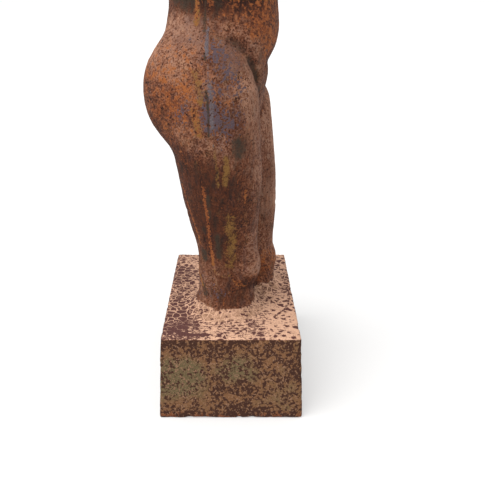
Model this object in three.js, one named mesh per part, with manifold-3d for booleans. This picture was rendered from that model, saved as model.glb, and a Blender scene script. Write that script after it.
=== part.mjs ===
// A cast iron garden statue: a standing nude torso, cut off at the neck, at both upper arms and just
// below the knees, cast in one with the low block that it stands on. The weight is on the right leg,
// so the right hip is high, and the left knee is lower and further forward.
//
// Millimetres, +Z up. The origin is the centre of the block's underside. The figure faces -Y, and its
// left side is +X. Inside this file a place on the figure is written as it is on a sculptor's frame:
// x to the figure's left, `fore` forward of the block's centre line (so y = -fore), and `up` above the
// block's top.
//
// The figure is an implicit solid: a function gives how far a point lies outside the skin. Oval
// sections carry the trunk and the legs, rounded masses are blended into them, and strokes carve the
// folds. The skin is then drawn as a net of facets and joined to the block.

import * as THREE from "three";
import { mergeVertices, toCreasedNormals } from "three/addons/utils/BufferGeometryUtils.js";
import Module from "manifold-3d";

const wasm = await Module();
wasm.setup();

// ---- driving dimensions ----------------------------------------------------------------------------

const BLOCK = {
  width: 411, // left to right, at the top
  depth: 260, // front to back, at the top
  height: 170,
  draft: 7.5, // how much wider each side is at the foot
  corner: 5, // rounding of the upright corners
  edge: 3.5, // bevel of the top and bottom edges
};
const FILLET = 50; // reach of the hollow curve between the legs and the block
const ROOT = 14; // how far the figure reaches into the block
const CELL = 15.2; // size of the facets

// Heights of the landmarks above the block's top.
const KNEE = { right: 90, left: 53 };
const FOLD = 322; // under the buttocks
const SEAT = 425; // the buttocks' fullest
const WAIST = 560;
const RIBS = 640;
const BUST = 700;
const ARMPIT = 756;
const SHOULDER = 806;
const NECK_CUT = 896;

// ---- shapes as distances ---------------------------------------------------------------------------

// The union of two shapes, with a hollow curve of about half `blend` where they meet.
function join(a, b, blend) {
  const overlap = Math.max(blend - Math.abs(a - b), 0) / blend;
  return Math.min(a, b) - (overlap * overlap * blend) / 4;
}

// A stack of oval sections: height, centre x, half width, front, back and squareness (2 is an ellipse).
function sections(rows) {
  const size = rows[0].length - 1;
  const heights = rows.map((row) => row[0]);
  const values = rows.flatMap((row) => row.slice(1));
  const curve = new THREE.CubicInterpolant(heights, values, size);
  const bottom = heights[0];
  const top = heights[heights.length - 1];
  return (x, fore, up) => {
    const [centre, half, front, back, square] = curve.evaluate(up);
    const dx = x - centre;
    const dy = fore - (front + back) / 2;
    const away = Math.hypot(dx, dy);
    const ratio = Math.pow(
      Math.pow(Math.abs(dx) / half, square) + Math.pow((2 * Math.abs(dy)) / (front - back), square),
      1 / square,
    );
    const side = ratio < 1e-6 ? -half : away - away / ratio;
    return Math.max(side, up - top, bottom - up);
  };
}

function ellipsoid([cx, cf, cu], [rx, rf, ru]) {
  return (x, fore, up) => {
    const [px, pf, pu] = [(x - cx) / rx, (fore - cf) / rf, (up - cu) / ru];
    const inner = Math.hypot(px, pf, pu);
    const slope = Math.hypot(px / rx, pf / rf, pu / ru);
    return slope < 1e-9 ? -Math.min(rx, rf, ru) : (inner * (inner - 1)) / slope;
  };
}

// A round bar that tapers from one point to another.
function bar(start, end, startRadius, endRadius) {
  const along = end.map((value, i) => value - start[i]);
  const lengthSq = along.reduce((sum, value) => sum + value * value, 0);
  return (x, fore, up) => {
    const from = [x - start[0], fore - start[1], up - start[2]];
    const dot = from[0] * along[0] + from[1] * along[1] + from[2] * along[2];
    const share = THREE.MathUtils.clamp(dot / lengthSq, 0, 1);
    const [dx, dy, dz] = from.map((value, i) => value - share * along[i]);
    return Math.hypot(dx, dy, dz) - THREE.MathUtils.lerp(startRadius, endRadius, share);
  };
}

const mirrored = ([x, fore, up], drop = 0) => [-x, fore, up - drop];

// ---- the figure ------------------------------------------------------------------------------------

const trunk = sections([
  [FOLD + 24, -2, 44, 30, -62, 2.0],
  [FOLD + 58, -3, 112, 44, -98, 2.1],
  [SEAT, -5, 148, 56, -118, 2.3],
  [462, -6, 152, 64, -124, 2.4],
  [500, -5, 140, 75, -124, 2.4],
  [528, -4, 124, 80, -118, 2.4],
  [WAIST, -2, 111, 84, -113, 2.3],
  [596, 0, 108, 84, -111, 2.3],
  [RIBS, 2, 114, 78, -118, 2.4],
  [BUST, 4, 120, 72, -130, 2.5],
  [ARMPIT, 5, 124, 60, -132, 2.4],
  [SHOULDER, 5, 112, 34, -120, 2.2],
  [SHOULDER + 28, 4, 78, 12, -106, 2.0],
  [SHOULDER + 54, 3, 52, 4, -95, 2.0],
  [NECK_CUT + 30, 2, 49, 10, -86, 2.0],
]);

const rightLeg = sections([
  [-ROOT, -57, 56, 38, -61, 2.3],
  [10, -57, 57, 39, -63, 2.3],
  [KNEE.right - 44, -57, 58, 45, -64, 2.3],
  [KNEE.right, -57, 59, 52, -65, 2.3],
  [KNEE.right + 42, -58, 60, 52, -67, 2.3],
  [178, -62, 66, 53.5, -79, 2.3],
  [217, -66, 72, 56, -88, 2.3],
  [273, -73, 80, 59, -97, 2.3],
  [FOLD, -78, 86, 56, -105, 2.3],
  [352, -81, 87, 54, -112, 2.2],
  [396, -84, 86, 50, -108, 2.2],
  [444, -88, 74, 44, -90, 2.1],
  [488, -90, 48, 18, -66, 2.0],
]);

const leftLeg = sections([
  [-ROOT, 57, 56, 77, -20, 2.3],
  [6, 57, 57, 82, -21, 2.3],
  [KNEE.left, 58, 59, 92, -24, 2.3],
  [KNEE.left + 43, 59, 60, 90, -30, 2.3],
  [132, 62, 63, 92, -40, 2.3],
  [165, 66, 67, 95, -50, 2.3],
  [201, 69, 72, 95, -60, 2.3],
  [253, 75, 79, 93, -72, 2.3],
  [303, 80, 84, 89, -84, 2.3],
  [353, 84, 86, 84, -92, 2.3],
  [412, 87, 84, 75, -94, 2.2],
  [455, 88, 68, 54, -82, 2.1],
  [490, 88, 44, 28, -62, 2.0],
]);

// The thighs and knees touch: this fills the hollow behind the groove that runs down between them.
const between = sections([
  [-ROOT, 0, 30, 42, -30, 2.0],
  [KNEE.right, 0, 30, 42, -34, 2.0],
  [200, 0, 36, 50, -56, 2.0],
  [FOLD, 0, 42, 50, -84, 2.0],
  [380, 0, 42, 48, -90, 2.0],
]);

const knees = [
  ellipsoid([-65, 20, KNEE.right + 1], [50, 40, 39]),
  ellipsoid([65, 60, KNEE.left + 2], [50, 40, 38]),
];
const buttocks = [
  ellipsoid([-70, -84, SEAT + 3], [80, 72.5, 96]),
  ellipsoid([68, -80, SEAT - 8], [79, 70, 95]),
];
const belly = ellipsoid([-3, 20, 530], [104, 62, 58]);
const mons = ellipsoid([-1, 31, 454], [50, 36, 50]);
const breasts = [
  ellipsoid([-59, 47, BUST], [52, 50, 54]),
  ellipsoid([66, 47, BUST - 4], [52, 50, 54]),
];
const shoulderBlades = [
  ellipsoid([-68, -108, 742], [44, 26, 62]),
  ellipsoid([76, -108, 738], [44, 26, 62]),
];
const shoulders = [
  bar([-40, -44, SHOULDER + 12], [-136, -44, SHOULDER - 8], 32, 41),
  bar([48, -44, SHOULDER + 12], [144, -44, SHOULDER - 10], 32, 41),
];
const armStumps = [
  bar([-140, -44, SHOULDER - 14], [-182, -42, 692], 40, 35),
  bar([148, -44, SHOULDER - 16], [192, -50, 692], 40, 35),
];

// Folds and ridges, as paths over the skin: depth is positive for a hollow and negative for a ridge.
const STROKES = [
  // the fold between the belly and each thigh: deep over the hip, and fading down to the crotch
  { width: 19, depth: 14, path: [[-139, -12, 520], [-134, 10, 513], [-128, 32, 490], [-112, 46, 458], [-84, 54, 426]] },
  { width: 17, depth: 7, path: [[-116, 44, 464], [-74, 54, 414], [-14, 52, 364]] },
  { width: 19, depth: 13, path: [[134, 0, 506], [123, 34, 484], [104, 54, 452], [78, 62, 420]] },
  { width: 17, depth: 7, path: [[106, 52, 456], [68, 64, 408], [12, 54, 362]] },
  // under the belly
  { width: 18, depth: 4, path: [[-92, 56, 484], [-45, 72, 476], [0, 76, 474], [45, 74, 476], [88, 60, 480]] },
  // between the buttocks
  { width: 16, depth: 11, path: [[0, -128, 512], [0, -146, 450], [0, -136, 390], [0, -104, 340]] },
  // under each buttock
  { width: 18, depth: 5, path: [[-8, -92, FOLD + 4], [-48, -110, FOLD - 4], [-82, -110, FOLD]] },
  { width: 18, depth: 5, path: [[8, -84, FOLD - 4], [46, -100, FOLD - 12], [80, -98, FOLD - 8]] },
  // the spine
  { width: 18, depth: 8, path: [[0, -124, 522], [0, -112, WAIST], [2, -116, RIBS], [5, -132, 730], [4, -124, 806]] },
  // the middle line of the belly and the breastbone
  { width: 16, depth: 5, path: [[0, 86, 562], [2, 80, RIBS], [4, 74, BUST], [4, 60, 766]] },
  // the arch of the ribs
  { width: 18, depth: 5, path: [[4, 80, 664], [-44, 72, 640], [-88, 40, 602]] },
  { width: 18, depth: 5, path: [[4, 80, 664], [50, 72, 640], [94, 40, 602]] },
  // the collarbones
  { width: 14, depth: -6, path: [[-10, 34, 810], [-60, 18, 826], [-116, -8, 826]] },
  { width: 14, depth: -6, path: [[16, 34, 810], [68, 18, 826], [124, -8, 824]] },
];

function uncarved(x, fore, up) {
  let body = trunk(x, fore, up);
  body = join(body, belly(x, fore, up), 26);
  body = join(body, mons(x, fore, up), 24);
  for (const blade of shoulderBlades) body = join(body, blade(x, fore, up), 30);
  for (const shoulder of shoulders) body = join(body, shoulder(x, fore, up), 50);
  for (const breast of breasts) body = join(body, breast(x, fore, up), 28);
  for (const stump of armStumps) body = join(body, stump(x, fore, up), 16);
  const right = join(rightLeg(x, fore, up), knees[0](x, fore, up), 10);
  const left = join(leftLeg(x, fore, up), knees[1](x, fore, up), 10);
  const legs = join(join(right, left, 16), between(x, fore, up), 22);
  body = join(body, legs, 34);
  for (const buttock of buttocks) body = join(body, buttock(x, fore, up), 24);
  return body;
}

function gradient(field, [x, fore, up], step = 0.5) {
  return [
    (field(x + step, fore, up) - field(x - step, fore, up)) / (2 * step),
    (field(x, fore + step, up) - field(x, fore - step, up)) / (2 * step),
    (field(x, fore, up + step) - field(x, fore, up - step)) / (2 * step),
  ];
}

// Moves a point onto the skin, along the skin's own slope.
function onto(field, point, rounds = 4, most = CELL / 2) {
  let place = point;
  for (let round = 0; round < rounds; round += 1) {
    const slope = gradient(field, place);
    const steep = Math.max(slope[0] ** 2 + slope[1] ** 2 + slope[2] ** 2, 0.05);
    const length = Math.sqrt(steep);
    const move = THREE.MathUtils.clamp(field(...place) / length, -most, most) / length;
    place = place.map((value, i) => value - move * slope[i]);
  }
  return place;
}

// Each stroke as close-set points on the uncarved skin, shallower towards its two ends.
const PITCH = 6;
const carving = STROKES.map(({ path, width, depth }) => {
  const curve = new THREE.CatmullRomCurve3(path.map((point) => new THREE.Vector3(...point)));
  const length = curve.getLength();
  const count = Math.ceil(length / PITCH);
  const points = curve.getSpacedPoints(count).map((point, i) => {
    const toEnd = (Math.min(i, count - i) * length) / count;
    const place = onto(uncarved, [point.x, point.y, point.z], 6);
    return { place, depth: depth * (0.25 + 0.75 * THREE.MathUtils.smoothstep(toEnd, 0, 2 * width)) };
  });
  const box = new THREE.Box3().setFromPoints(points.map(({ place }) => new THREE.Vector3(...place)));
  return { points, width, box };
});

function carved(x, fore, up) {
  const here = new THREE.Vector3(x, fore, up);
  let skin = uncarved(x, fore, up);
  for (const { points, width, box } of carving) {
    if (box.distanceToPoint(here) > 2.2 * width) continue;
    let cut = 0;
    for (const { place, depth } of points) {
      const apart = (x - place[0]) ** 2 + (fore - place[1]) ** 2 + (up - place[2]) ** 2;
      const share = depth * Math.exp(-apart / (0.5 * width * width));
      if (Math.abs(share) > Math.abs(cut)) cut = share;
    }
    skin += cut;
  }
  return skin;
}

// The figure's legs run out in a hollow curve over a slab just under the block's top.
const SLAB = { sink: 1, margin: 10 };
function figure(x, fore, up) {
  const outX = Math.abs(x) - (BLOCK.width / 2 - SLAB.margin);
  const outFore = Math.abs(fore) - (BLOCK.depth / 2 - SLAB.margin);
  const slab = Math.max(up + SLAB.sink, outX, outFore);
  const standing = up < 3 * FILLET ? join(carved(x, fore, up), slab, FILLET) : carved(x, fore, up);
  return Math.max(standing, -up - ROOT);
}

// ---- drawing the skin ------------------------------------------------------------------------------

// Even steps from one value to the next, each no longer than the step given between them.
function steps(from, ...spans) {
  const values = [from];
  for (const [to, step] of spans) {
    const start = values.at(-1);
    const count = Math.ceil((to - start) / step);
    for (let i = 1; i <= count; i += 1) values.push(start + ((to - start) * i) / count);
  }
  return values;
}

// The zero level of a field as a closed net: one corner in each cell that the skin passes through, and
// one four-sided facet across each grid line that it crosses.
function net(field, xs, fores, ups) {
  const [nx, nf, nu] = [xs.length, fores.length, ups.length];
  const at = (i, j, k) => (k * nf + j) * nx + i;
  const values = new Float64Array(nx * nf * nu);
  for (let k = 0; k < nu; k += 1)
    for (let j = 0; j < nf; j += 1)
      for (let i = 0; i < nx; i += 1) values[at(i, j, k)] = field(xs[i], fores[j], ups[k]);

  const points = [];
  const cornerOf = new Map();
  const bits = [0, 1];
  function corner(i, j, k) {
    const key = at(i, j, k);
    if (cornerOf.has(key)) return cornerOf.get(key);
    const sum = [0, 0, 0];
    let crossings = 0;
    const cross = (a, b) => {
      const [va, vb] = [values[at(...a)], values[at(...b)]];
      if (va < 0 === vb < 0) return;
      const share = va / (va - vb);
      sum[0] += THREE.MathUtils.lerp(xs[a[0]], xs[b[0]], share);
      sum[1] += THREE.MathUtils.lerp(fores[a[1]], fores[b[1]], share);
      sum[2] += THREE.MathUtils.lerp(ups[a[2]], ups[b[2]], share);
      crossings += 1;
    };
    for (const p of bits)
      for (const q of bits) {
        cross([i, j + p, k + q], [i + 1, j + p, k + q]);
        cross([i + p, j, k + q], [i + p, j + 1, k + q]);
        cross([i + p, j + q, k], [i + p, j + q, k + 1]);
      }
    points.push(sum.map((value) => value / crossings));
    cornerOf.set(key, points.length - 1);
    return points.length - 1;
  }

  const facets = [];
  const add = (inside, loop) => facets.push(inside ? loop : loop.reverse());
  for (let k = 1; k < nu - 1; k += 1)
    for (let j = 1; j < nf - 1; j += 1)
      for (let i = 1; i < nx - 1; i += 1) {
        const here = values[at(i, j, k)] < 0;
        if (here !== values[at(i + 1, j, k)] < 0)
          add(here, [corner(i, j - 1, k - 1), corner(i, j, k - 1), corner(i, j, k), corner(i, j - 1, k)]);
        if (here !== values[at(i, j + 1, k)] < 0)
          add(here, [corner(i - 1, j, k - 1), corner(i - 1, j, k), corner(i, j, k), corner(i, j, k - 1)]);
        if (here !== values[at(i, j, k + 1)] < 0)
          add(here, [corner(i - 1, j - 1, k), corner(i, j - 1, k), corner(i, j, k), corner(i - 1, j, k)]);
      }
  return { points, facets };
}

// Evens out the net's facets, and puts every corner back on the skin.
function even(field, { points, facets }, rounds) {
  const neighbours = points.map(() => new Set());
  for (const loop of facets)
    loop.forEach((a, i) => {
      const b = loop[(i + 1) % loop.length];
      neighbours[a].add(b);
      neighbours[b].add(a);
    });
  let places = points.map((point) => onto(field, point));
  for (let round = 0; round < rounds; round += 1) {
    places = places.map((place, index) => {
      const mean = [0, 0, 0];
      for (const other of neighbours[index]) places[other].forEach((value, i) => (mean[i] += value));
      const target = place.map((value, i) => value + 0.5 * (mean[i] / neighbours[index].size - value));
      return onto(field, target, 2);
    });
  }
  return { points: places, facets };
}

// Splits each facet on its shorter diagonal. The result is in the part's own axes.
function netGeometry({ points, facets }) {
  const gap = (a, b) => Math.hypot(...points[a].map((value, i) => value - points[b][i]));
  const index = facets.flatMap(([a, b, c, d]) =>
    gap(a, c) < gap(b, d) ? [a, b, c, a, c, d] : [a, b, d, b, c, d],
  );
  // y is minus fore, which turns each facet over.
  for (let i = 0; i < index.length; i += 3) [index[i], index[i + 1]] = [index[i + 1], index[i]];
  const positions = points.flatMap(([x, fore, up]) => [x, -fore, up + BLOCK.height]);
  const geometry = new THREE.BufferGeometry();
  geometry.setAttribute("position", new THREE.Float32BufferAttribute(positions, 3));
  geometry.setIndex(index);
  return geometry;
}

// ---- solids ----------------------------------------------------------------------------------------

function solidOf(geometry) {
  const bare = new THREE.BufferGeometry();
  bare.setAttribute("position", geometry.getAttribute("position").clone());
  if (geometry.index) bare.setIndex(geometry.index.clone());
  const merged = mergeVertices(bare, 1e-4);
  return new wasm.Manifold(
    new wasm.Mesh({
      numProp: 3,
      vertProperties: new Float32Array(merged.attributes.position.array),
      triVerts: new Uint32Array(merged.index.array),
    }),
  );
}

function geometryOf(solid) {
  const mesh = solid.getMesh();
  const geometry = new THREE.BufferGeometry();
  geometry.setAttribute("position", new THREE.BufferAttribute(mesh.vertProperties, 3));
  geometry.setIndex(new THREE.BufferAttribute(mesh.triVerts, 1));
  return geometry;
}

// One level of the block: a rectangle with rounded corners, as points round the origin.
function outline(halfWidth, halfDepth, corner, up) {
  const turns = 4;
  const points = [];
  for (const [sx, sy, start] of [[1, 1, 0], [-1, 1, 1], [-1, -1, 2], [1, -1, 3]])
    for (let turn = 0; turn <= turns; turn += 1) {
      const angle = ((start + turn / turns) * Math.PI) / 2;
      const x = sx * (halfWidth - corner) + corner * Math.cos(angle);
      const y = sy * (halfDepth - corner) + corner * Math.sin(angle);
      points.push([x, y, up]);
    }
  return points;
}

// The block: levels from the underside to the top, wider at the foot by its draft.
function blockGeometry() {
  const { width, depth, height, draft, corner, edge } = BLOCK;
  const level = (up, inset) => {
    const grow = draft * (1 - up / height) - inset;
    return outline(width / 2 + grow, depth / 2 + grow, corner, up);
  };
  const levels = [level(0, edge), level(edge, 0), level(height - edge, 0), level(height, edge)];
  const ring = levels[0].length;
  const index = [];
  for (let n = 0; n < levels.length - 1; n += 1)
    for (let i = 0; i < ring; i += 1) {
      const [a, b] = [n * ring + i, n * ring + ((i + 1) % ring)];
      index.push(a, b, b + ring, a, b + ring, a + ring);
    }
  const top = (levels.length - 1) * ring;
  for (let i = 1; i < ring - 1; i += 1) {
    index.push(0, i + 1, i);
    index.push(top, top + i, top + i + 1);
  }
  const geometry = new THREE.BufferGeometry();
  geometry.setAttribute("position", new THREE.Float32BufferAttribute(levels.flat(2), 3));
  geometry.setIndex(index);
  return geometry;
}

// Everything beyond a plane through `place`, on the side that `way` points to, for `reach` across.
function beyond([x, fore, up], [wayX, wayFore, wayUp], reach) {
  const box = new THREE.BoxGeometry(reach, reach, reach);
  box.translate(0, 0, reach / 2);
  const way = new THREE.Vector3(wayX, -wayFore, wayUp).normalize();
  box.applyQuaternion(new THREE.Quaternion().setFromUnitVectors(new THREE.Vector3(0, 0, 1), way));
  box.translate(x, -fore, up + BLOCK.height);
  return solidOf(box);
}

function figureSolid() {
  const margin = 1.5 * CELL;
  const drawn = net(
    figure,
    steps(-225 - margin, [225 + margin, CELL]),
    steps(-165 - margin, [125 + margin, CELL]),
    steps(-ROOT - margin, [140, 0.8 * CELL], [300, 1.5 * CELL], [NECK_CUT + 30 + margin, CELL]),
  );
  let solid = solidOf(netGeometry(even(figure, drawn, 4)));
  solid = solid.subtract(beyond([0, -42, NECK_CUT], [0, 0.16, 1], 160));
  solid = solid.subtract(beyond([-171, -43, 728], [-0.38, 0.05, -1], 86));
  solid = solid.subtract(beyond([180, -48, 722], [0.4, -0.05, -1], 86));
  return solid;
}

const rustedIron = new THREE.MeshStandardMaterial({
  name: "rusted_cast_iron",
  color: 0x7b4d36,
  roughness: 0.9,
  metalness: 0.2,
});

const statue = new THREE.Mesh(
  toCreasedNormals(geometryOf(figureSolid().add(solidOf(blockGeometry()))), 0.6),
  rustedIron,
);
statue.name = "torso_on_block";

const part = new THREE.Group();
part.add(statue);

export default part;
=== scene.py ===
"""A rusted cast iron garden statue: a standing torso, cast in one with the rectangular block it stands on.

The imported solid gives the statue's form. Its skin is drawn again here as a fine, even net, and on that
net are carved the folds of the body that are too fine for the solid, the parting line of the mould, the
unevenness of a sand casting, and the rust. Lengths inside the carving are in millimetres: x to the
figure's left, fore forwards of the block's centre line, and up from the block's top.
"""

import math

import bmesh
import bpy
import numpy as np
from bpy.props import FloatProperty, FloatVectorProperty, PointerProperty
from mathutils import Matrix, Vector, noise
from mathutils.bvhtree import BVHTree


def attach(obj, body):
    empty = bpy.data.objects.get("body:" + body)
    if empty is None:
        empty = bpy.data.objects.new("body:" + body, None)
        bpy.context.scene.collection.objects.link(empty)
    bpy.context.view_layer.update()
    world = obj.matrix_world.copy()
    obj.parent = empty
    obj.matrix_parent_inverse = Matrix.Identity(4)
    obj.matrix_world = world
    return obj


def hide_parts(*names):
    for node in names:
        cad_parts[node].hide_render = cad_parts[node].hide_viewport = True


bl_info = {
    "name": "Rusted cast iron torso",
    "version": (1, 0, 0),
    "blender": (4, 5, 0),
    "location": "View3D > Sidebar > Statue",
    "description": "Casts, weathers and stages a garden torso on its block",
    "category": "Object",
}

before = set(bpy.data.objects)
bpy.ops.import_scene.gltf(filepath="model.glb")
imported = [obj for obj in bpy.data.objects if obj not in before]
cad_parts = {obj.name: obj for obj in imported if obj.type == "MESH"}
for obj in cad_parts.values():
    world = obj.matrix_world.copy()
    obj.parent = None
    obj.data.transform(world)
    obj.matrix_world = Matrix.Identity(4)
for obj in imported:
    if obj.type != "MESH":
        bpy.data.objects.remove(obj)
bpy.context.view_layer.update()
NODE = "torso_on_block"

# The block, as the solid has it: its height, its top's width and depth, how much wider each side is at the
# foot, and the radius of its edges, all in mm.
BLOCK_TOP = 170.0
BLOCK_WIDTH, BLOCK_DEPTH, BLOCK_DRAFT = 411.0, 260.0, 7.5
BLOCK_EDGE = 3.5

# The flat ends at the neck and the two arms: a point on each in mm, and the way it faces.
ENDS = [
    ((0, -42, 896), (0, 0.16, 1)),
    ((-171, -43, 728), (-0.38, 0.05, -1)),
    ((180, -48, 722), (0.4, -0.05, -1)),
]


def linear(code):
    """An sRGB hex colour as linear red, green and blue."""
    parts = [int(code[i : i + 2], 16) / 255 for i in (1, 3, 5)]
    return tuple(p / 12.92 if p <= 0.04045 else ((p + 0.055) / 1.055) ** 2.4 for p in parts)


# ---- what a user would change -----------------------------------------------------------------------


def length(name, description, default):
    """A length in metres that a user may change."""
    return FloatProperty(
        name=name, description=description, default=default, precision=4, unit="LENGTH", subtype="DISTANCE"
    )


def colour(name, description, code):
    """A colour that a user may change, from its sRGB hex code."""
    return FloatVectorProperty(
        name=name, description=description, default=linear(code), size=3, min=0, max=1, subtype="COLOR"
    )


class CastingSizes(bpy.types.PropertyGroup):
    facet: length("Facet", "Side of the squares that the skin is drawn in", 0.0039)
    waviness: length(
        "Waviness", "How far the skin wanders over a hand's breadth, from the sand mould", 0.0008
    )
    scale_depth: length("Scale depth", "Depth of the pits where scale has come off", 0.0009)
    seam_height: length("Seam height", "How far the dressed parting line of the mould stands proud", 0.0011)
    grit: length("Grit", "Relief of the finest rust grains", 0.0012)


class RustColours(bpy.types.PropertyGroup):
    # also the painted shade that darkens the body in hollows, round the waist and under the buttocks
    shadow: colour("Old scale and painted shade", "The oldest, darkest rust, deep in the pores, and painted shade", "#25140f")
    brown: colour("Brown rust", "The rust that covers most of the body", "#522d1c")
    rose: colour("Rubbed rust", "Rubbed rust on the parts that stand out", "#77503d")
    pale: colour("Pale grains", "Dry grains that catch the light", "#a37c66")
    orange: colour("Fresh rust", "Loose, newly formed rust", "#6e3a20")
    bright: colour("Running rust", "Rust carried down by rain", "#88502a")
    ochre: colour("Ochre stain", "Yellow stain where water stands", "#705029")
    plum: colour("Blue scale", "Tight blue-purple mill scale", "#4e4045")
    # a greyish painted sheen, the sky's reflection on the hips
    painted_sheen: colour("Painted sheen", "Greyish painted sheen, the sky's reflection over the hips", "#73584d")
    steel: colour("Bare seam", "Metal that was ground flush along the seam", "#5a5053")
    # also laid as painted shade in the body's folds, under the buttocks, between the legs and round the waist
    damp_and_shade: colour("Damp stain and painted shade", "Dark greenish film of damp stains, and painted shade in the body's folds", "#352b22")
    dust: colour("Dry film", "Peach film of dried rust on the block's top", "#c0987f")
    khaki: colour("Rubbed film", "The film where it is thin, round the foot", "#80604a")
    island: colour("Scale islands", "Scale showing through the dry film", "#50312d")
    block: colour("Block scale", "Dark maroon scale of the block's sides", "#3a2218")
    tan: colour("Block bloom", "Tan bloom in a net over the block's sides", "#6f4d33")
    olive: colour("Olive bloom", "The bloom where it has turned green", "#5d4f36")


class StageSettings(bpy.types.PropertyGroup):
    eye_height: length("Eye height", "Height of the camera over the floor", 0.748)
    eye_distance: length("Eye distance", "Distance of the camera from the block's middle", 1.201)
    pitch: FloatProperty(
        name="Pitch",
        description="How far down the camera looks",
        default=math.radians(21.96),
        unit="ROTATION",
        subtype="ANGLE",
    )
    lens: FloatProperty(name="Lens", description="Focal length in millimetres", default=44.64, min=10)
    sky: FloatProperty(name="Sky", description="Strength of the even light from all round", default=1.0)
    key: FloatProperty(name="Key", description="Strength of the broad soft light from above", default=3.3)


# ---- the skin ---------------------------------------------------------------------------------------


def smooth_step(low, high, value):
    """0 up to low, 1 from high on, and a smooth rise between them."""
    t = np.clip((value - low) / (high - low), 0, 1)
    return t * t * (3 - 2 * t)


def block_half(up):
    """Half the block's width, depth and height, at a height over its top."""
    grow = -BLOCK_DRAFT * up / BLOCK_TOP
    tall = np.full_like(grow, BLOCK_TOP / 2)
    return np.stack([BLOCK_WIDTH / 2 + grow, BLOCK_DEPTH / 2 + grow, tall], axis=-1)


def block_reach(at):
    """How far points lie, on each axis, beyond the core that the block's edges are rounded about, and on
    which side of its middle."""
    centred = at + (0, 0, BLOCK_TOP / 2)
    return np.abs(centred) - block_half(at[:, 2]) + BLOCK_EDGE, np.sign(centred)


def block_distance(at):
    """How far points lie outside the block."""
    reach, _ = block_reach(at)
    return np.linalg.norm(np.maximum(reach, 0), axis=1) + np.minimum(reach.max(axis=1), 0) - BLOCK_EDGE


def on_block(at):
    """The points moved onto the block's rounded outside."""
    reach, side = block_reach(at)
    beyond = np.maximum(reach, 0)
    away = beyond / np.maximum(np.linalg.norm(beyond, axis=1, keepdims=True), 1e-6)
    reach = np.where(reach > 0, away * BLOCK_EDGE, reach)
    return side * (reach + block_half(at[:, 2]) - BLOCK_EDGE) - (0, 0, BLOCK_TOP / 2)


def shells_of(solid):
    """The figure and the block as two closed shells in one mesh, with creases where the casting has edges."""
    top = BLOCK_TOP / 1000
    bm = bmesh.new()
    bm.from_mesh(solid.data)
    bmesh.ops.remove_doubles(bm, verts=bm.verts, dist=1e-5)
    crease = bm.edges.layers.float.new("crease_edge")
    block = [face for face in bm.faces if max(v.co.z for v in face.verts) < top + 2e-5]
    bmesh.ops.delete(bm, geom=block, context="FACES")
    bm.normal_update()
    for point, facing in ENDS:
        point = Vector((point[0], -point[1], point[2] + BLOCK_TOP)) / 1000
        facing = Vector((facing[0], -facing[1], facing[2])).normalized()
        flat = {
            face
            for face in bm.faces
            if face.normal.dot(facing) > 0.99 and abs((face.verts[0].co - point).dot(facing)) < 1e-3
        }
        for edge in {edge for face in flat for edge in face.edges}:
            if not flat.issuperset(edge.link_faces):
                edge[crease] = 1
    # the figure's foot goes on down into the block, and is closed there
    rim = [edge for edge in bm.edges if edge.is_boundary]
    for edge in rim:
        edge[crease] = 1
    for part in bmesh.ops.extrude_edge_only(bm, edges=rim)["geom"]:
        if isinstance(part, bmesh.types.BMVert):
            part.co.z -= 0.03
    bmesh.ops.holes_fill(bm, edges=[edge for edge in bm.edges if edge.is_boundary], sides=0)
    bmesh.ops.triangulate(bm, faces=[face for face in bm.faces if len(face.verts) > 4])
    bmesh.ops.join_triangles(bm, faces=bm.faces, angle_face_threshold=0.6, angle_shape_threshold=0.9)
    corners = bmesh.ops.create_cube(bm, size=1)["verts"]
    for corner in corners:
        level = 0 if corner.co.z > 0 else -BLOCK_TOP
        half = block_half(np.array(float(level)))
        corner.co = (
            math.copysign(half[0], corner.co.x) / 1000,
            math.copysign(half[1], corner.co.y) / 1000,
            (level + BLOCK_TOP) / 1000,
        )
    for edge in {edge for corner in corners for edge in corner.link_edges}:
        edge[crease] = 1
    bmesh.ops.recalc_face_normals(bm, faces=bm.faces)
    mesh = bpy.data.meshes.new("shells")
    bm.to_mesh(mesh)
    bm.free()
    return mesh


def evened(shells, facet):
    """The shells, rounded between their facets, as one skin of even squares."""
    piece = bpy.data.objects.new("shells", shells)
    bpy.context.scene.collection.objects.link(piece)
    rounding = piece.modifiers.new("Rounding", "SUBSURF")
    rounding.levels = rounding.render_levels = 2
    squares = piece.modifiers.new("Squares", "REMESH")
    squares.mode = "VOXEL"
    squares.voxel_size = facet
    graph = bpy.context.evaluated_depsgraph_get()
    skin = bpy.data.meshes.new_from_object(piece.evaluated_get(graph))
    bpy.data.objects.remove(piece)
    bpy.data.meshes.remove(shells)
    return skin


def laid(path, pieces=6):
    """A smooth line through the path's points."""
    p = np.array(path if len(path) > 1 else path * 2, float)
    p = np.vstack([2 * p[0] - p[1], p, 2 * p[-1] - p[-2]])
    line = []
    for a, b, c, d in zip(p, p[1:], p[2:], p[3:]):
        for t in np.arange(pieces) / pieces:
            bend = (2 * a - 5 * b + 4 * c - d) * t**2 + (3 * b - a - 3 * c + d) * t**3
            line.append(b + 0.5 * ((c - a) * t + bend))
    return np.array([*line, p[-2]])


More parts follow.
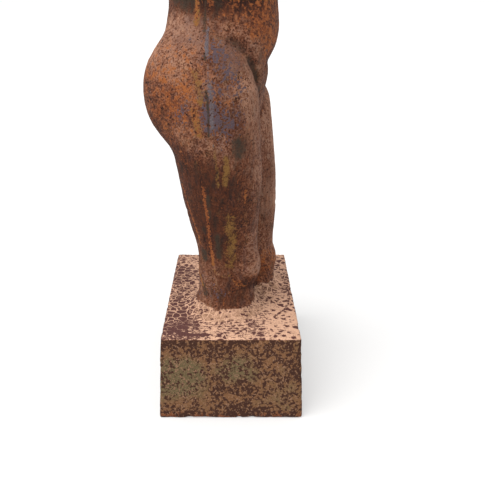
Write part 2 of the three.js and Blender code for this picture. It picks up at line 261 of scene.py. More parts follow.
class Skin:
    """The casting's skin as arrays: where each point is, which way is out, and which points it joins."""

    def __init__(self, mesh):
        self.mesh = mesh
        self.count = len(mesh.vertices)
        pairs = np.empty(len(mesh.edges) * 2, np.int32)
        mesh.edges.foreach_get("vertices", pairs)
        self.pairs = pairs.reshape(-1, 2).T
        self.degree = np.bincount(pairs, minlength=self.count).astype(float)
        self.read()

    def read(self):
        """Takes the points and their normals from the mesh, in mm."""
        flat = np.empty(self.count * 3, np.float32)
        self.mesh.vertices.foreach_get("co", flat)
        self.at = flat.reshape(-1, 3) * (1000.0, -1000.0, 1000.0) - (0, 0, BLOCK_TOP)
        self.mesh.vertex_normals.foreach_get("vector", flat)
        self.out = flat.reshape(-1, 3) * (1.0, -1.0, 1.0)
        self.surface = None

    def write(self):
        """Puts the points back into the mesh, in metres."""
        at = (self.at + (0, 0, BLOCK_TOP)) * (0.001, -0.001, 0.001)
        self.mesh.vertices.foreach_set("co", at.astype(np.float32).ravel())
        self.mesh.update()
        self.read()

    def spread(self, values):
        """The mean over each point's neighbours."""
        a, b = self.pairs
        means = [
            (np.bincount(a, column[b], self.count) + np.bincount(b, column[a], self.count)) / self.degree
            for column in values.T
        ]
        return np.stack(means, axis=1)

    def relax(self, rounds, share=1.0):
        """Evens the skin out, and gives back most of what each round shrinks."""
        share = np.broadcast_to(share, (self.count,))[:, None]
        for _ in range(rounds):
            self.at = self.at + 0.5 * share * (self.spread(self.at) - self.at)
            self.at = self.at - 0.48 * share * (self.spread(self.at) - self.at)

    def push(self, amount):
        """Moves each point outwards by an amount in mm."""
        self.at = self.at + amount[:, None] * self.out

    def ripple(self, size, shift):
        """Smooth noise over the skin, from about -1 to 1, with bumps of a size in mm."""
        places = self.at / size + shift * 9.7
        return np.array([noise.noise(Vector(place)) for place in places])

    def near(self, path, reach):
        """The points near a path laid on the skin, how far each is from it, and how far along it each is."""
        if self.surface is None:
            faces = [tuple(face.vertices) for face in self.mesh.polygons]
            self.surface = BVHTree.FromPolygons([Vector(place) for place in self.at], faces)
        line = np.array([self.surface.find_nearest(Vector(place))[0] for place in laid(path)])
        inside = (self.at > line.min(0) - reach) & (self.at < line.max(0) + reach)
        found = np.nonzero(inside.all(axis=1))[0]
        apart = np.full(len(found), np.inf)
        along = np.zeros(len(found))
        for i, (start, end) in enumerate(zip(line, line[1:])):
            way = end - start
            share = np.clip((self.at[found] - start) @ way / max(way @ way, 1e-9), 0, 1)
            distance = np.linalg.norm(self.at[found] - start - share[:, None] * way, axis=1)
            closer = distance < apart
            apart[closer] = distance[closer]
            along[closer] = (i + share[closer]) / (len(line) - 1)
        keep = apart < reach
        return found[keep], apart[keep], along[keep]

    def store(self, name, value):
        """Keeps a value from 0 to 1 for each point, for the rust to read."""
        layer = self.mesh.attributes.new(name, "FLOAT", "POINT")
        layer.data.foreach_set("value", np.clip(value, 0, 1).astype(np.float32))


# ---- carving ----------------------------------------------------------------------------------------

# Folds of the body: width and depth in mm, and the path. A negative depth is a ridge.
FOLDS = [
    # the hollow over the right hip, and the fold that runs from it to the crotch
    (13, 3.5, [(-131, -14, 521), (-128, 8, 514), (-125, 26, 502), (-120, 34, 486), (-106, 44, 460)]),
    (8, 4.5, [(-122, 28, 494), (-108, 42, 464), (-92, 48, 438)]),
    (6, 2.0, [(-96, 46, 444), (-60, 52, 404), (-16, 54, 366)]),
    (10, 3.0, [(128, 2, 506), (118, 34, 484), (100, 54, 452), (84, 60, 430)]),
    (6, 2.0, [(88, 58, 436), (56, 64, 400), (14, 56, 364)]),
    # under the belly
    (8, 1.6, [(-84, 60, 482), (-40, 72, 475), (0, 76, 473), (40, 74, 475), (80, 62, 479)]),
    # between and under the buttocks
    (6, 4.0, [(0, -126, 500), (0, -140, 450), (0, -130, 392), (0, -106, 344)]),
    (9, 2.6, [(-10, -96, 324), (-48, -110, 317), (-86, -110, 322)]),
    (9, 2.6, [(10, -88, 318), (46, -102, 310), (84, -98, 316)]),
    # the spine and the shoulder blades
    (9, 2.2, [(0, -122, 520), (0, -112, 560), (2, -116, 640), (5, -132, 730), (4, -124, 806)]),
    (11, -2.2, [(-34, -134, 788), (-38, -138, 740), (-60, -132, 696), (-88, -118, 690)]),
    (11, -2.2, [(42, -134, 784), (46, -138, 736), (68, -132, 692), (96, -118, 686)]),
    # the breastbone, the arch of the ribs and the middle of the belly
    (8, 1.8, [(4, 70, 764), (4, 74, 700), (2, 80, 640), (0, 84, 572)]),
    (11, 1.8, [(4, 80, 664), (-44, 72, 640), (-88, 40, 602)]),
    (11, 1.8, [(4, 80, 664), (50, 72, 640), (94, 40, 602)]),
    # under the breasts
    (9, 2.4, [(-20, 78, 664), (-56, 86, 650), (-96, 64, 662)]),
    (9, 2.4, [(28, 78, 660), (64, 86, 646), (104, 64, 658)]),
    # the collarbones, and the pit of the neck between them
    (9, -2.2, [(-14, 30, 812), (-60, 16, 826), (-116, -10, 824)]),
    (9, -2.2, [(20, 30, 812), (68, 16, 824), (124, -10, 822)]),
    (12, 3.5, [(4, 22, 826)]),
    # the navel, in its shallow dish
    (15, 1.2, [(-1, 88, 552)]),
    (6.5, 5.0, [(-1, 88, 552)]),
    # round the right knee: behind it, below it, and the rim of its cap
    (8, 2.6, [(-113, 12, 132), (-115, 2, 104), (-114, 4, 80), (-110, 16, 62)]),
    (8, 2.4, [(-110, 16, 60), (-92, 36, 50), (-64, 46, 46), (-34, 42, 52)]),
    (11, -1.4, [(-110, 26, 118), (-104, 38, 94), (-92, 44, 72)]),
    (7, -1.8, [(-112, -33, 95), (-115, -17, 86), (-116, 0, 88)]),
    # round the left knee
    (8, 2.2, [(113, 52, 92), (114, 42, 66), (111, 52, 30)]),
    (8, 2.2, [(108, 60, 22), (84, 82, 14), (56, 90, 12), (28, 84, 18)]),
    # the backs of the knees
    (18, 2.6, [(-57, -68, 112)]),
    (18, 2.6, [(58, -34, 84)]),
    # the long muscle of each thigh
    (17, 1.4, [(-148, 10, 318), (-138, 22, 250), (-122, 30, 180)]),
    (17, 1.4, [(150, 30, 318), (140, 50, 250), (122, 66, 170)]),
]

# The mould parted along a nearly upright plane through both flanks: how far fore that is, by height.
SEAM_UP = [0, 130, 200, 270, 307, 343, 400, 473, 517, 560, 760]
SEAM_FORE = [-26, -24, -22, -18, -24, -28, -31, -37, -39, -37, -36]


def carve_folds(skin):
    """Cuts each fold into the skin, and lets it run out at its ends."""
    for width, depth, path in FOLDS:
        found, apart, along = skin.near(path, 2.2 * width)
        ends = 1.0
        if len(path) > 1:
            ends = smooth_step(0, 0.25, along) * smooth_step(0, 0.25, 1 - along)
        skin.at[found] -= (depth * ends * np.exp(-2 * (apart / width) ** 2))[:, None] * skin.out[found]
    skin.write()


def weather(skin, sizes):
    """The unevenness of the mould, the scale, the seam, and the knocks along the block's edges."""
    at, out = skin.at, skin.out
    body = smooth_step(2, 14, block_distance(at))
    gaps = np.sort(BLOCK_EDGE - block_reach(at)[0], axis=1)
    near_edge = smooth_step(12, 3, gaps[:, 1]) * (1 - body)
    wave = skin.ripple(70, 1) + 0.5 * skin.ripple(26, 2)
    amount = sizes.waviness * 1000 * wave * (0.45 + 0.55 * body)
    # scale has come off in flakes, with a step round each
    flakes = skin.ripple(17, 3) + 0.55 * skin.ripple(8, 4)
    amount -= sizes.scale_depth * 1000 * smooth_step(0.24, 0.4, flakes) * (0.6 + 0.4 * body)
    amount += 0.4 * skin.ripple(9, 5)
    # the seam, dressed flush here and there
    side = smooth_step(0.7, 0.9, np.abs(out[:, 0])) * smooth_step(10, 40, at[:, 2]) * body
    off = at[:, 1] - np.interp(at[:, 2], SEAM_UP, SEAM_FORE)
    ridge = np.exp(-((off / 3.0) ** 2)) * side * smooth_step(-0.3, 0.1, skin.ripple(38, 6))
    amount += sizes.seam_height * 1000 * ridge
    # knocks along the block's edges
    amount -= 1.8 * near_edge * smooth_step(0.15, 0.5, skin.ripple(15, 7))
    skin.push(amount)
    # the casting's lip runs unevenly round the block's foot
    foot = smooth_step(10, 1, at[:, 2] + BLOCK_TOP) * smooth_step(14, 3, gaps[:, 0] + gaps[:, 1])
    skin.at[:, 2] += 2.6 * foot * np.clip(skin.ripple(42, 8) + 0.15, 0, 1)
    skin.at[:, 2] = np.maximum(skin.at[:, 2], -BLOCK_TOP)
    skin.write()


# ---- stains -----------------------------------------------------------------------------------------

# Where rust, water and scale have coloured the iron, and where shade is painted: the width in mm, the
# strength, and the path.
STAINS = {
    # rust that rain has carried down
    "runs": [
        (6, 1.0, [(-112, -89, 268), (-112, -84, 247), (-111, -77, 222), (-108, -67, 186), (-100, -59, 148)]),
        (8, 1.0, [(-75, -63, 98), (-79, -61, 74), (-93, -55, 58)]),
        (6, 1.0, [(-149, -49, 271), (-139, -46, 237), (-130, -42, 201), (-117, -39, 155), (-111, -34, 108)]),
        (8, 0.95, [(-102, -55, 590), (-104, -55, 575), (-106, -56, 560), (-115, -57, 541)]),
        (14, 0.85, [(-163, -62, 406), (-166, -58, 390), (-167, -53, 368)]),
        (5, 0.9, [(-140, 27, 265), (-133, 26, 237)]),
        (6, 0.8, [(-115, 4, 80), (-113, 14, 66), (-100, 35, 60)]),
        (7, 0.7, [(-112, -33, 95), (-115, -17, 86), (-116, 2, 88)]),
        (7, 0.9, [(-40, -112, 250), (-42, -98, 200), (-44, -84, 150)]),
        (7, 0.9, [(84, -92, 270), (82, -72, 210), (78, -46, 140)]),
        (7, 0.9, [(148, -20, 290), (138, -12, 230), (126, -4, 150)]),
        (6, 0.8, [(110, 76, 300), (104, 84, 240), (98, 84, 170)]),
        (7, 0.8, [(-20, 64, 300), (-24, 60, 230), (-26, 56, 160)]),
        (7, 0.8, [(60, 78, 640), (58, 84, 600), (60, 82, 560)]),
        (8, 0.8, [(108, -30, 640), (106, -34, 596), (120, -36, 540)]),
    ],
    # yellow where water has stood
    "ochre": [
        (9, 1.0, [(-163, -8, 328), (-159, -8, 303), (-155, -10, 280)]),
        (5, 0.9, [(-161, -24, 312), (-154, -22, 274)]),
        (5, 0.7, [(-168, -28, 354), (-165, -27, 332), (-162, -25, 311)]),
        (17, 0.75, [(-134, -2, 210), (-126, 0, 175), (-119, 2, 142), (-116, -2, 110)]),
        (13, 0.75, [(-158, -58, 468), (-165, -52, 442), (-167, -49, 420)]),
        (14, 0.6, [(20, -140, 420), (22, -130, 380)]),
        (14, 0.6, [(90, 70, 380), (94, 78, 330)]),
    ],
    # dark and greenish where it stays wet; some strokes are painted shade in folds, under the buttocks,
    # between the legs and round the waist
    "wet_and_shaded": [
        (26, 0.95, [(-158, 14, 350), (-158, 14, 338)]),
        (15, 1.0, [(-101, -52, 132), (-101, -52, 118)]),
        (11, 0.95, [(-126, -26, 172), (-119, -24, 146), (-116, -23, 126)]),
        (13, 0.9, [(-94, -54, 60), (-101, -49, 42)]),
        (12, 0.85, [(-145, -42, 252), (-139, -41, 231), (-134, -42, 210)]),
        # the next two: painted shade round the back and the side of the right waist
        (34, 0.8, [(-74, -93, 580), (-100, -64, 574)]),
        (16, 0.8, [(-109, -30, 590), (-110, -18, 572)]),
        (3.5, 1.2, [(-110, -43, 578), (-114, -43, 556), (-126, -43, 530)]),
        (4.0, 1.2, [(-148, -42, 498), (-153, -42, 488)]),
        (4.5, 1.1, [(-167, -40, 440), (-171, -37, 400), (-170, -37, 366)]),
        # the next two: painted shade in the right hip's hollow and along its fold to the groin
        (20, 0.7, [(-128, 0, 516), (-126, 20, 504)]),
        (18, 0.8, [(-118, 30, 484), (-100, 44, 454), (-84, 50, 430)]),
        # the next two: painted shade under the buttocks
        (30, 0.5, [(-60, -112, 322), (-110, -96, 326)]),
        (30, 0.5, [(60, -104, 312), (110, -84, 318)]),
        (22, 0.6, [(110, 20, 300), (100, 30, 200)]),
        # the next two: painted shade between the legs, in front and behind
        (20, 0.6, [(0, 50, 360), (0, 44, 200), (0, 40, 60)]),
        (20, 0.6, [(0, -90, 330), (0, -60, 180), (0, -36, 50)]),
    ],
    # thick old scale that stands through the film on the block's top
    "scab": [
        (10, 1.1, [(-166, -112, 0), (-182, -96, 0), (-189, -76, 0), (-190, -46, 0)]),
        (12, 0.9, [(-158, -92, 0), (-164, -84, 0)]),
        (7, 0.8, [(-52, -112, 0), (-40, -108, 0)]),
        (7, 0.8, [(-120, 86, 0), (-60, 118, 0), (20, 122, 0)]),
        (7, 0.7, [(-150, -40, 0), (-156, 10, 0), (-140, 56, 0)]),
        (9, 0.9, [(170, 60, 0), (186, 10, 0)]),
    ],
    # bare metal along the seam, and a scratch beside it
    "bare": [
        (4.5, 0.75, [(-108, -37, 575), (-112, -37, 560), (-123, -37, 535)]),
        (6.0, 1.1, [(-123, -37, 535), (-134, -39, 517), (-150, -38, 495)]),
        (4.5, 0.8, [(-152, -38, 490), (-160, -37, 473), (-167, -35, 450)]),
        (7.5, 0.95, [(-167, -35, 452), (-170, -32, 426), (-170, -31, 402), (-170, -31, 377)]),
        (5.0, 0.7, [(-170, -31, 377), (-167, -28, 343)]),
        (6.0, 0.85, [(110, -37, 570), (140, -38, 500), (166, -34, 440)]),
        (3.0, 1.1, [(-139, -22, 509), (-136, -19, 513), (-133, -16, 517)]),
    ],
}

# How much of each kind of rust, and of painted light and shade, lies where: a share to start from, then
# ovals that add or take away, each with its centre and its reach in mm.
SHARES = {
    "loose": (0.35, [
        (0.45, (-120, -100, 440), (120, 110, 110)),
        (0.50, (-60, 70, 540), (130, 80, 90)),
        (0.45, (60, 60, 60), (90, 80, 90)),
        (0.30, (110, -90, 430), (110, 110, 100)),
        (0.30, (60, 70, 680), (130, 80, 90)),
        (-0.50, (-110, -20, 200), (120, 120, 160)),
        (-0.35, (0, 60, 250), (160, 80, 190)),
    ]),
    "tight": (0.12, [
        (0.55, (-165, -10, 430), (60, 60, 130)),
        (0.30, (-140, -100, 420), (80, 60, 70)),
        (0.45, (-165, -60, 400), (60, 50, 70)),
        (0.40, (-120, -40, 510), (60, 60, 60)),
        (0.35, (-80, -40, 50), (80, 80, 60)),
        (0.45, (160, -20, 430), (60, 80, 120)),
    ]),
    # how far the rust is rubbed paler; the rise over the right hip's top is painted light, and the falls at
    # the right of the waist and under the buttocks are painted shade
    "rubbed_lit_and_shaded": (0.50, [
        (0.35, (-110, -110, 510), (110, 90, 80)),
        (0.35, (-130, 40, 430), (60, 60, 100)),
        (0.35, (60, 90, 260), (110, 70, 260)),
        (0.08, (-60, 50, 90), (70, 60, 70)),
        (-0.35, (80, 50, 50), (80, 70, 90)),
        (-0.40, (-130, -40, 230), (90, 100, 160)),
        (-0.35, (-110, -40, 590), (80, 110, 60)),
        (-0.30, (-60, -100, 330), (120, 60, 50)),
        (-0.20, (60, -90, 320), (120, 60, 50)),
    ]),
    # a greyish painted sheen, the sky's reflection, over the hips and the shoulders
    "sheen_share": (0.15, [
        (0.60, (-118, -60, 530), (60, 70, 60)),
        (0.45, (-150, -20, 480), (60, 60, 60)),
        (0.40, (-140, 20, 490), (60, 60, 60)),
        (0.45, (120, -50, 520), (60, 80, 60)),
        (0.40, (0, -60, 800), (200, 80, 60)),
    ]),
    # old dark scale, drawn down the legs in streaks, and painted shade round the waist and under the buttocks
    "sooty_and_shaded": (0.22, [
        (1.0, (-90, -10, 620), (150, 170, 85)),
        (0.60, (-70, -100, 320), (130, 60, 60)),
        (0.40, (60, -90, 310), (130, 60, 60)),
        (0.45, (-130, -30, 250), (70, 70, 130)),
        (0.20, (-90, -30, 70), (90, 90, 90)),
        (0.30, (110, 20, 200), (90, 90, 170)),
        (-0.20, (-120, -100, 470), (110, 90, 110)),
    ]),
    # the tan bloom on the block's sides, and how green it is
    "bloom": (0.5, [
        (0.30, (-205, -90, -90), (60, 80, 80)),
        (0.10, (-205, 90, -110), (60, 60, 60)),
        (0.20, (205, -60, -100), (60, 80, 60)),
        (0.20, (-80, 130, -100), (90, 60, 60)),
    ]),
    "green": (0.25, [
        (0.60, (-205, -100, -80), (60, 70, 60)),
        (0.35, (-205, 20, -70), (60, 60, 50)),
        (0.40, (90, 130, -110), (90, 60, 60)),
        (0.40, (205, 40, -90), (60, 80, 60)),
    ]),
    # the film on the block's top: how pale it is, where it is cracked in plates, and where scale shows
    # in dashes
    "dry": (0.45, [
        (0.60, (-185, -30, 0), (50, 130, 40)),
        (0.30, (-120, -110, 0), (110, 40, 40)),
        (-0.30, (170, 0, 0), (90, 200, 40)),
        (0.20, (-150, 100, 0), (90, 50, 40)),
    ]),
    "plated": (0.25, [
        (0.40, (-100, 130, 0), (150, 110, 40)),
        (-0.30, (-180, -90, 0), (60, 50, 40)),
        (0.40, (-195, 60, 0), (40, 60, 30)),
        (0.35, (150, 60, 0), (90, 120, 40)),
    ]),
    "dashed": (0.35, [
        (0.45, (-110, -110, 0), (130, 80, 40)),
        (0.35, (60, -120, 0), (130, 60, 40)),
        (-0.60, (-130, 110, 0), (140, 60, 40)),
    ]),
}


def paint(skin):
    """Stores each stain and each share of colour on the skin, from 0 to 1."""
    at, out = skin.at, skin.out
    for name, strokes in STAINS.items():
        value = np.zeros(skin.count)
        for width, strength, path in strokes:
            found, apart, _ = skin.near(path, width * 1.3)
            value[found] = np.maximum(value[found], strength * smooth_step(1.3 * width, 0.1 * width, apart))
        skin.store(name, value)
    for i, (name, (start, ovals)) in enumerate(SHARES.items()):
        value = start + 0.3 * skin.ripple(80, 11 + i) + 0.15 * skin.ripple(30, 21 + i)
        for amount, centre, reach in ovals:
            value += amount * smooth_step(1.0, 0.3, np.linalg.norm((at - centre) / reach, axis=1))
        if name == "bloom":
            value -= 0.15 * smooth_step(-45, -5, at[:, 2]) + 0.1 * smooth_step(-145, -168, at[:, 2])
        skin.store(name, value)
    outside = block_distance(at)
    top = smooth_step(0.25, 0.7, out[:, 2]) * smooth_step(38, 18, at[:, 2]) * smooth_step(-7, -2, at[:, 2])
    skin.store("film", top)
    skin.store("sides", smooth_step(7, 1, outside) * (1 - top))
    skin.store("ring", smooth_step(0.05, 1.6, at[:, 2]) * top)
    skin.store("foot", smooth_step(-130, -168, at[:, 2]) * smooth_step(7, 1, outside))
    # how deep a point lies in a hollow, over some 20 mm, and how far it stands out: hollows darken the rust
    # as painted shade
    mean = at
    for _ in range(30):
        mean = mean + 0.5 * (skin.spread(mean) - mean)
    depth = ((mean - at) * out).sum(1) * smooth_step(2, 20, outside)
    skin.store("hollow", smooth_step(0.3, 2.6, depth))
    skin.store("proud", smooth_step(0.5, 2.2, -depth))
    # faces turned down, which darken the rust as painted shade
    skin.store("under", smooth_step(0.05, -0.6, out[:, 2]) * smooth_step(2, 20, outside))


# ---- rust -------------------------------------------------------------------------------------------


def add(tree, kind, sockets=None, **settings):
    """Adds a node with its settings. A socket takes a value, another node, or one output of a node."""
    node = tree.nodes.new("ShaderNode" + kind)
    for name, value in settings.items():
        setattr(node, name, value)
    for name, value in (sockets or {}).items():
        if isinstance(value, bpy.types.Node):
            value = next(output for output in value.outputs if output.enabled)
        if isinstance(value, bpy.types.NodeSocket):
            tree.links.new(value, node.inputs[name])
        else:
            node.inputs[name].default_value = value
    return node


def rusted_iron(colours, sizes):
    """Cast iron, poured in a sand mould and left bare outdoors: dry, matt rust in grains and blotches from
    near black to orange, tighter and bluer where the casting's own skin still holds. Painted shade darkens it
    in hollows, folds and under the buttocks, and a painted sheen greys the hips."""
    material = bpy.data.materials.new("Sand-cast iron, rusted outdoors")
    material.use_nodes = True
    tree = material.node_tree
    tree.nodes.clear()
    tint = {name: (*getattr(colours, name), 1.0) for name in RustColours.__annotations__}
    place = add(tree, "TexCoord").outputs["Object"]
    in_mm = add(tree, "VectorMath", {0: place, "Scale": 1000.0}, operation="SCALE")

    # Mottling, by the size of its bumps in mm, its detail, and how far it is drawn out along each axis.
    # Real rust grains are about 0.5 mm: the two finest are drawn at 3 and 5 mm, as fine as still shows.
    source = {}
    for i, (name, size, detail, stretch) in enumerate([
        ("grain", 3.0, 2.0, (1, 1, 1)),
        ("fleck", 5.0, 2.0, (1, 1, 1)),
        ("blotch", 10.0, 3.0, (1, 1, 1)),
        ("patch", 24.0, 3.0, (1, 1, 1)),
        ("cloud", 55.0, 3.0, (1, 1, 1)),
        ("hue", 20.0, 4.0, (1, 1, 1.3)),
        ("band", 11.0, 4.0, (1, 1, 4)),
        ("streak", 6.0, 3.0, (1, 1, 6)),
        ("dash", 5.0, 2.0, (1, 2.6, 1)),
        ("knot", 6.5, 2.0, (1, 1, 1)),
    ]):
        drawn = add(
            tree,
            "Mapping",
            {"Vector": in_mm, "Location": (37.0 * i, 11.0 * i, 5.0 * i), "Scale": [1 / s for s in stretch]},
        )
        source[name] = add(
            tree, "TexNoise", {"Vector": drawn, "Scale": 1 / size, "Detail": detail, "Roughness": 0.6}
        )
    # cracks that part the film on the block's top into plates of about 15 mm
    source["plate"] = add(
        tree, "TexVoronoi", {"Vector": in_mm, "Scale": 1 / 15}, feature="DISTANCE_TO_EDGE"
    )
    painted = [*STAINS, *SHARES, "film", "sides", "ring", "foot", "hollow", "proud", "under"]
    for name in painted:
        source[name] = add(tree, "Attribute", attribute_name=name, attribute_type="GEOMETRY").outputs["Fac"]

    # Each mask sums shares of the mottling and of the painted places, and goes from 0 to 1 between two sums.
    mask = {}
    for name, low, high, terms in [
        # painted shade lowers the tone in hollows and on faces turned down; the share of rubbed rust also
        # carries painted light and shade
        ("tone", 1.06, 1.54, {
            "grain": 1.0, "fleck": 0.5, "blotch": 0.5, "cloud": 0.35,
            "rubbed_lit_and_shaded": 0.35, "hollow": -0.25, "proud": 0.1, "under": -0.2,
        }),
        # old dark scale in streaks, and painted shade round the waist and under the buttocks
        ("soot_and_shade", 0.55, 1.5, {"sooty_and_shaded": 0.8, "streak": 0.8, "fleck": 0.3}),
        # a greyish painted sheen over the hips
        ("painted_sheen", 0.85, 1.35, {"sheen_share": 0.7, "fleck": 0.7, "grain": 0.4}),
        ("hue", 0.25, 1.2, {"grain": 1.0}),
        ("band", 0.45, 1.5, {"sooty_and_shaded": 1.0, "grain": 0.5, "fleck": 0.5}),
        ("fresh", 1.08, 1.32, {"blotch": 1.0, "fleck": 0.7, "loose": 0.45, "rubbed_lit_and_shaded": -0.05}),
        ("drip", 1.3, 1.45, {"streak": 1.2, "fleck": 0.5, "grain": 0.3, "sooty_and_shaded": 0.25}),
        ("blue", 1.29, 1.4, {"knot": 0.6, "fleck": 1.0, "patch": 0.25, "tight": 0.55}),
        ("runs", 0.95, 1.15, {"runs": 0.6, "grain": 0.6, "fleck": 0.6}),
        ("ochre", 0.98, 1.32, {"ochre": 0.55, "grain": 0.6, "blotch": 0.9}),
        # damp stains, and painted shade in the body's folds, under the buttocks, between the legs and round
        # the waist
        ("wet_and_shaded", 0.78, 1.2, {"wet_and_shaded": 0.65, "fleck": 0.5, "blotch": 0.5}),
        ("bare", 0.95, 1.2, {"bare": 0.65, "fleck": 0.6, "blotch": 0.5}),
        ("pore", 0.36, 0.3, {"fleck": 1.0}),
        ("net", 1.15, 1.27, {"knot": 1.0, "fleck": 0.4, "patch": 0.6, "bloom": 0.35}),
        ("speck", 1.2, 1.35, {"grain": 1.2, "fleck": 0.8, "bloom": 0.2}),
        ("olive", 0.45, 0.85, {"green": 0.8, "patch": 0.5}),
        ("film", 0.62, 0.98, {"film": 0.8, "fleck": 0.6}),
        ("sides", 0.3, 0.7, {"sides": 1.0}),
        ("crack", 0.04, -0.02, {"plate": 1.0, "plated": -0.12}),
        ("scab", 0.95, 1.1, {"scab": 0.7, "fleck": 0.6, "knot": 0.5}),
        ("plates", 0.96, 1.04, {"plate": 0.9, "patch": 0.7, "knot": 0.5, "plated": 0.35, "ring": -0.12}),
        ("dashes", 1.0, 1.1, {"dash": 1.0, "knot": 0.5, "patch": 0.35, "dashed": 0.35, "ring": -0.05}),
        ("thin", 0.45, 1.0, {"ring": 0.45, "patch": 0.6, "knot": 0.4, "dry": -0.4}),
        ("rusty_foot", 0.7, 1.0, {"foot": 0.6, "patch": 0.6}),
    ]:
        total = 0.0
        for term, factor in terms.items():
            total = add(tree, "Math", {0: source[term], 1: factor, 2: total}, operation="MULTIPLY_ADD")
        kind = "LINEAR" if name == "tone" else "SMOOTHSTEP"
        mask[name] = add(tree, "MapRange", {0: total, 1: low, 2: high}, interpolation_type=kind)

    # Shades that run through several colours as the grain goes from deep to proud; those that follow the tone
    # also carry its painted light and shade.
    shade = {}
    for name, stops in {
        "brown": [(0.0, "shadow"), (0.38, "brown"), (0.7, "rose"), (1.0, "pale")],
        "orange": [(0.1, "brown"), (0.45, "orange"), (0.9, "bright")],
        "hue": [(0.36, "plum"), (0.45, "brown"), (0.55, "orange"), (0.66, "ochre")],
        "band": [(0.34, "damp_and_shade"), (0.44, "brown"), (0.54, "orange"), (0.66, "shadow")],
        "running": [(0.0, "orange"), (0.5, "bright"), (1.0, "ochre")],
        "dusty": [(0.1, "khaki"), (0.55, "dust"), (1.0, "dust")],
    }.items():
        ramp = shade[name] = add(tree, "ValToRGB", {"Fac": source.get(name, mask["tone"])})
        ramp.color_ramp.elements.new(0.5)
        if len(stops) == 4:
            ramp.color_ramp.elements.new(0.6)
        for element, (position, key) in zip(ramp.color_ramp.elements, stops):
            element.position = position
            element.color = tint[key]

    surface = {"body": shade["brown"], "sides": tint["block"], "top": shade["dusty"], "bloom": tint["tan"]}
    for below, above, amount in [
        # a greyish painted sheen over the hips
        ("body", tint["painted_sheen"], "painted_sheen"),
        ("body", shade["hue"], "hue"),
        ("body", shade["band"], "band"),
        # darkened with old scale in streaks, and with painted shade round the waist and under the buttocks
        ("body", tint["shadow"], "soot_and_shade"),
        ("body", shade["orange"], "fresh"),
        ("body", shade["orange"], "drip"),
        ("body", tint["plum"], "blue"),
        # damp stains, and painted shade in the body's folds, under the buttocks and between the legs
        ("body", tint["damp_and_shade"], "wet_and_shaded"),
        ("body", tint["ochre"], "ochre"),
        ("body", shade["running"], "runs"),
        ("body", tint["steel"], "bare"),
        ("body", tint["shadow"], "pore"),
        ("bloom", tint["olive"], "olive"),
        ("bloom", tint["orange"], "rusty_foot"),
        ("sides", "bloom", "net"),
        ("sides", tint["khaki"], "speck"),
        ("top", tint["khaki"], "thin"),
        ("top", tint["island"], "plates"),
        ("top", tint["island"], "dashes"),
        ("top", shade["dusty"], "crack"),
        ("top", tint["island"], "scab"),
        ("body", "sides", "sides"),
        ("body", "top", "film"),
    ]:
        above = surface[above] if isinstance(above, str) else above
        surface[below] = add(
            tree, "Mix", {0: mask[amount], 6: surface[below], 7: above}, data_type="RGBA"
        )

    gloss = add(tree, "MapRange", {0: mask["bare"], 3: 0.92, 4: 0.55})
    metal = add(tree, "MapRange", {0: mask["bare"], 3: 0.0, 4: 0.35})
    relief = 0.0
    for name, factor in {"grain": 1.0, "fleck": 0.8, "blotch": 0.7}.items():
        relief = add(tree, "Math", {0: source[name], 1: factor, 2: relief}, operation="MULTIPLY_ADD")
    bump = add(tree, "Bump", {"Height": relief, "Distance": sizes.grit * 2, "Strength": 1.0})
    shader = add(
        tree,
        "BsdfPrincipled",
        {"Base Color": surface["body"], "Roughness": gloss, "Metallic": metal, "Normal": bump},
    )
    shader.inputs["Specular IOR Level"].default_value = 0.2
    add(tree, "OutputMaterial", {"Surface": shader})
    return material


# ---- operators --------------------------------------------------------------------------------------


class CastTorso(bpy.types.Operator):
    """Casts the torso and its block in one, weathers the casting and rusts it"""

    bl_idname = "statue.cast_torso"
    bl_label = "Cast the torso"

    def execute(self, context):
        sizes, colours = context.scene.statue_sizes, context.scene.statue_colours
        skin = Skin(evened(shells_of(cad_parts[NODE]), sizes.facet))
        outside = block_distance(skin.at)
        skin.relax(8, smooth_step(1.5, 6, outside))
        flat = smooth_step(2.2, 1.0, np.abs(block_distance(skin.at)))[:, None]
        skin.at = skin.at + flat * (on_block(skin.at) - skin.at)
        skin.write()
        carve_folds(skin)
        weather(skin, sizes)
        paint(skin)
        mesh = skin.mesh
        mesh.name = "torso_casting"
        mesh.shade_smooth()
        mesh.materials.clear()
        mesh.materials.append(rusted_iron(colours, sizes))
        casting = bpy.data.objects.new("torso_casting", mesh)
        context.scene.collection.objects.link(casting)
        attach(casting, "root")
        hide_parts(NODE)
        return {"FINISHED"}


FLOOR_REACH = 3000.0  # so far out that the floor has no edge in view
KEY_FROM = (-0.4, 0.45, 1.0)  # where the key light comes from
KEY_SPREAD = math.radians(60)  # as broad as an overcast sky, so that shadows have no edge
KEY_COLOUR = (1.0, 0.985, 0.96)  # a little warm
EYE_ASIDE = -0.0028  # how far to the side of the block's middle the camera stands, in metres
FRAME_ASIDE = 0.0352  # how far the frame is shifted sideways, as a share of its width


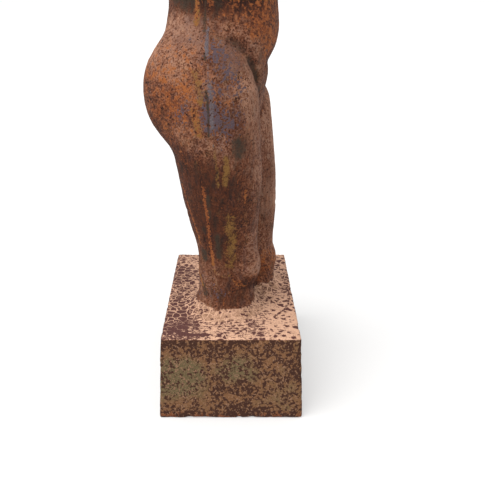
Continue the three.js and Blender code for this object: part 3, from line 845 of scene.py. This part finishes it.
class SetStage(bpy.types.Operator):
    """Lays the floor and sets the lights and the camera"""

    bl_idname = "statue.set_stage"
    bl_label = "Set the stage"

    def execute(self, context):
        scene, settings = context.scene, context.scene.statue_stage
        floor_mesh = bpy.data.meshes.new("floor")
        corners = [(x * FLOOR_REACH, y * FLOOR_REACH, 0) for x, y in ((-1, -1), (1, -1), (1, 1), (-1, 1))]
        floor_mesh.from_pydata(corners, [], [(0, 1, 2, 3)])
        floor = bpy.data.objects.new("floor", floor_mesh)
        scene.collection.objects.link(floor)
        # A cast opal sheet with a sanded face, lit from below: near white, with only a faint soft shadow.
        table = bpy.data.materials.new("Opal acrylic light table, matt")
        table.use_nodes = True
        shader = table.node_tree.nodes["Principled BSDF"]
        for name, value in {
            "Base Color": (*linear("#b3b3b3"), 1),
            "Roughness": 1.0,
            "Specular IOR Level": 0.0,
            "Emission Color": (1, 1, 1, 1),
            "Emission Strength": 0.32,
        }.items():
            shader.inputs[name].default_value = value
        floor_mesh.materials.append(table)

        scene.world = bpy.data.worlds.new("even sky")
        scene.world.use_nodes = True
        sky = scene.world.node_tree.nodes["Background"]
        sky.inputs["Color"].default_value = (1, 1, 1, 1)
        sky.inputs["Strength"].default_value = settings.sky
        sun = bpy.data.lights.new("overcast key", "SUN")
        sun.energy = settings.key
        sun.angle = KEY_SPREAD
        sun.color = KEY_COLOUR
        key = bpy.data.objects.new("overcast key", sun)
        key.rotation_euler = Vector(KEY_FROM).to_track_quat("Z", "Y").to_euler()
        scene.collection.objects.link(key)

        lens = bpy.data.cameras.new("eye")
        lens.lens = settings.lens
        lens.sensor_width = 36
        lens.shift_x = FRAME_ASIDE
        lens.clip_end = 200
        eye = bpy.data.objects.new("eye", lens)
        eye.location = (-settings.eye_distance, EYE_ASIDE, settings.eye_height)
        eye.rotation_euler = (math.pi / 2 - settings.pitch, 0, -math.pi / 2)
        scene.collection.objects.link(eye)
        scene.camera = eye
        scene.view_settings.view_transform = "Standard"
        return {"FINISHED"}


class StatuePanel(bpy.types.Panel):
    """Lists the statue's settings and steps"""

    bl_idname = "VIEW3D_PT_statue"
    bl_label = "Cast iron torso"
    bl_space_type = "VIEW_3D"
    bl_region_type = "UI"
    bl_category = "Statue"

    def draw(self, context):
        scene = context.scene
        for settings, operator in (
            ((scene.statue_sizes, scene.statue_colours), CastTorso),
            ((scene.statue_stage,), SetStage),
        ):
            box = self.layout.box()
            for group in settings:
                for name in type(group).__annotations__:
                    box.prop(group, name)
            box.operator(operator.bl_idname)


CLASSES = (CastingSizes, RustColours, StageSettings, CastTorso, SetStage, StatuePanel)
GROUPS = {"statue_sizes": CastingSizes, "statue_colours": RustColours, "statue_stage": StageSettings}


def register():
    for cls in CLASSES:
        bpy.utils.register_class(cls)
    for name, group in GROUPS.items():
        setattr(bpy.types.Scene, name, PointerProperty(type=group))


def unregister():
    for name in GROUPS:
        delattr(bpy.types.Scene, name)
    for cls in reversed(CLASSES):
        bpy.utils.unregister_class(cls)


def main():
    register()
    bpy.ops.statue.cast_torso()
    bpy.ops.statue.set_stage()


if __name__ == "__main__":
    main()
